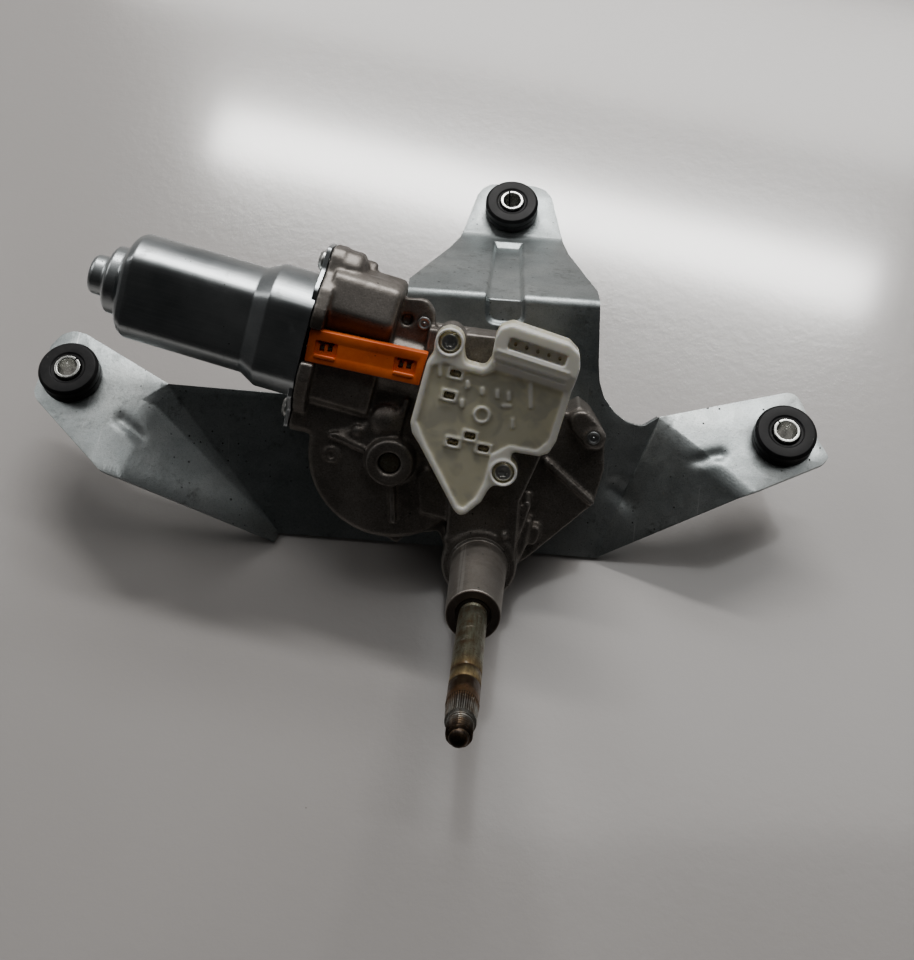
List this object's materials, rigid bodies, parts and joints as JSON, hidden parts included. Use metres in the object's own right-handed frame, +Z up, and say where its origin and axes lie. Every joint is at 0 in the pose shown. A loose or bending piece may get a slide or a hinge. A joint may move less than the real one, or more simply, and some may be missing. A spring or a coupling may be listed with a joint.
{
  "type": "rear wiper motor with bracket",
  "caption": "Rear window wiper drive: can motor, die-cast gear case with linkage, output shaft, and a bent sheet bracket on rubber grommets.",
  "frame": {"origin": "under the middle of the object, on the surface that it stands on", "axes": "+Z up and square to the three bracket ears; +X from the motor side towards the right-hand ear; the output shaft leans from +Z towards -Y by 41.7 degrees"},
  "size_m": [0.3162, 0.2912, 0.1349],
  "materials": {
    "zinc": "zinc-plated pressed sheet, blue-grey with worn spots",
    "zinc_can": "zinc-plated drawn can, bright",
    "rubber": "matt black moulded rubber",
    "sleeve_steel": "rolled zinc-plated steel",
    "cast_aluminium": "grainy pressure die casting, brownish grey",
    "cover_steel": "pressed sheet steel, dull",
    "ferrite": "dark sintered ferrite",
    "bronze": "sintered bronze",
    "shaft_steel": "turned steel, oiled, with rust stains",
    "lamination": "stacked electrical steel",
    "copper": "enamelled copper wire and bare copper bars",
    "orange_plastic": "satin orange moulding",
    "carbon": "matt black pressed carbon",
    "nylon": "off-white plastic pad",
    "acetal": "white engineering plastic",
    "milky_plastic": "translucent milky moulding",
    "brass": "tinned brass strip",
    "screw_steel": "bright zinc-plated steel",
    "black_seal": "black rubber lip seal"
  },
  "bodies": {
    "frame": {"mounting_bracket": "zinc", "motor_yoke": "zinc_can", "gear_housing": "cast_aluminium", "gear_back_cover": "cover_steel", "grommet_left": "rubber", "grommet_right": "rubber", "grommet_rear": "rubber", "sleeve_left": "sleeve_steel", "sleeve_right": "sleeve_steel", "sleeve_rear": "sleeve_steel", "magnet_upper": "ferrite", "magnet_lower": "ferrite", "front_bearing": "bronze", "rear_bearing": "bronze", "worm_end_bearing": "bronze", "output_bush_inner": "bronze", "output_bush_outer": "bronze", "thrust_pad": "nylon", "brush_card": "acetal", "brush_upper": "carbon", "brush_lower": "carbon", "wheel_axle": "shaft_steel", "sector_pivot": "shaft_steel", "shaft_seal": "black_seal", "connector_cover": "milky_plastic", "contact_frame": "brass", "terminal_holder": "orange_plastic", "motor_terminal_1": "brass", "motor_terminal_2": "brass", "cover_screw_1": "screw_steel", "cover_screw_2": "screw_steel", "yoke_screw_upper": "screw_steel", "yoke_screw_lower": "screw_steel", "bracket_screw_1": "screw_steel", "bracket_screw_2": "screw_steel", "bracket_screw_3": "screw_steel", "tab_rivet": "screw_steel", "lug_rivet": "screw_steel", "contact_pin_1": "brass", "contact_pin_2": "brass", "contact_pin_3": "brass", "contact_pin_4": "brass", "contact_pin_5": "brass"},
    "armature": {"armature_shaft": "shaft_steel", "armature_core": "lamination", "winding_front": "copper", "winding_rear": "copper", "commutator": "copper"},
    "wheel": {"worm_wheel": "acetal", "crank_pin": "shaft_steel"},
    "output": {"output_shaft": "shaft_steel", "output_pinion": "shaft_steel"},
    "sector": {"sector_gear": "shaft_steel", "link_pin": "shaft_steel"},
    "rod": {"connecting_rod": "acetal"}
  },
  "joints": [
    {"name": "armature_spin", "type": "hinge", "parent": "frame", "child": "armature", "pos_m": [-0.0434, 0.01547, 0.07711], "axis": [0.9767, -0.1603, -0.1429], "continuous": true},
    {"name": "wheel_spin", "type": "hinge", "parent": "frame", "child": "wheel", "pos_m": [-0.0109, -0.01661, 0.0485], "axis": [0, -0.6656, 0.7463], "continuous": true},
    {"name": "wiper_swing", "type": "hinge", "parent": "frame", "child": "output", "pos_m": [0.0251, -0.06991, 0.05054], "axis": [0, -0.6656, 0.7463], "range_deg": [0, 110]},
    {"name": "sector_swing", "type": "hinge", "parent": "frame", "child": "sector", "pos_m": [0.0351, -0.01124, 0.03131], "axis": [0, -0.6656, 0.7463], "range_deg": [-32.5, 0]},
    {"name": "rod_swing", "type": "hinge", "parent": "sector", "child": "rod", "pos_m": [0.03267, 0.00098, 0.04744], "axis": [0, -0.6656, 0.7463], "range_deg": [0, 32.5]}
  ],
  "couplings": [
    {"joint": "wheel_spin", "follows": "armature_spin", "ratio": -0.025},
    {"joint": "sector_swing", "follows": "wiper_swing", "ratio": -0.29412},
    {"joint": "rod_swing", "follows": "wiper_swing", "ratio": 0.29412}
  ]
}
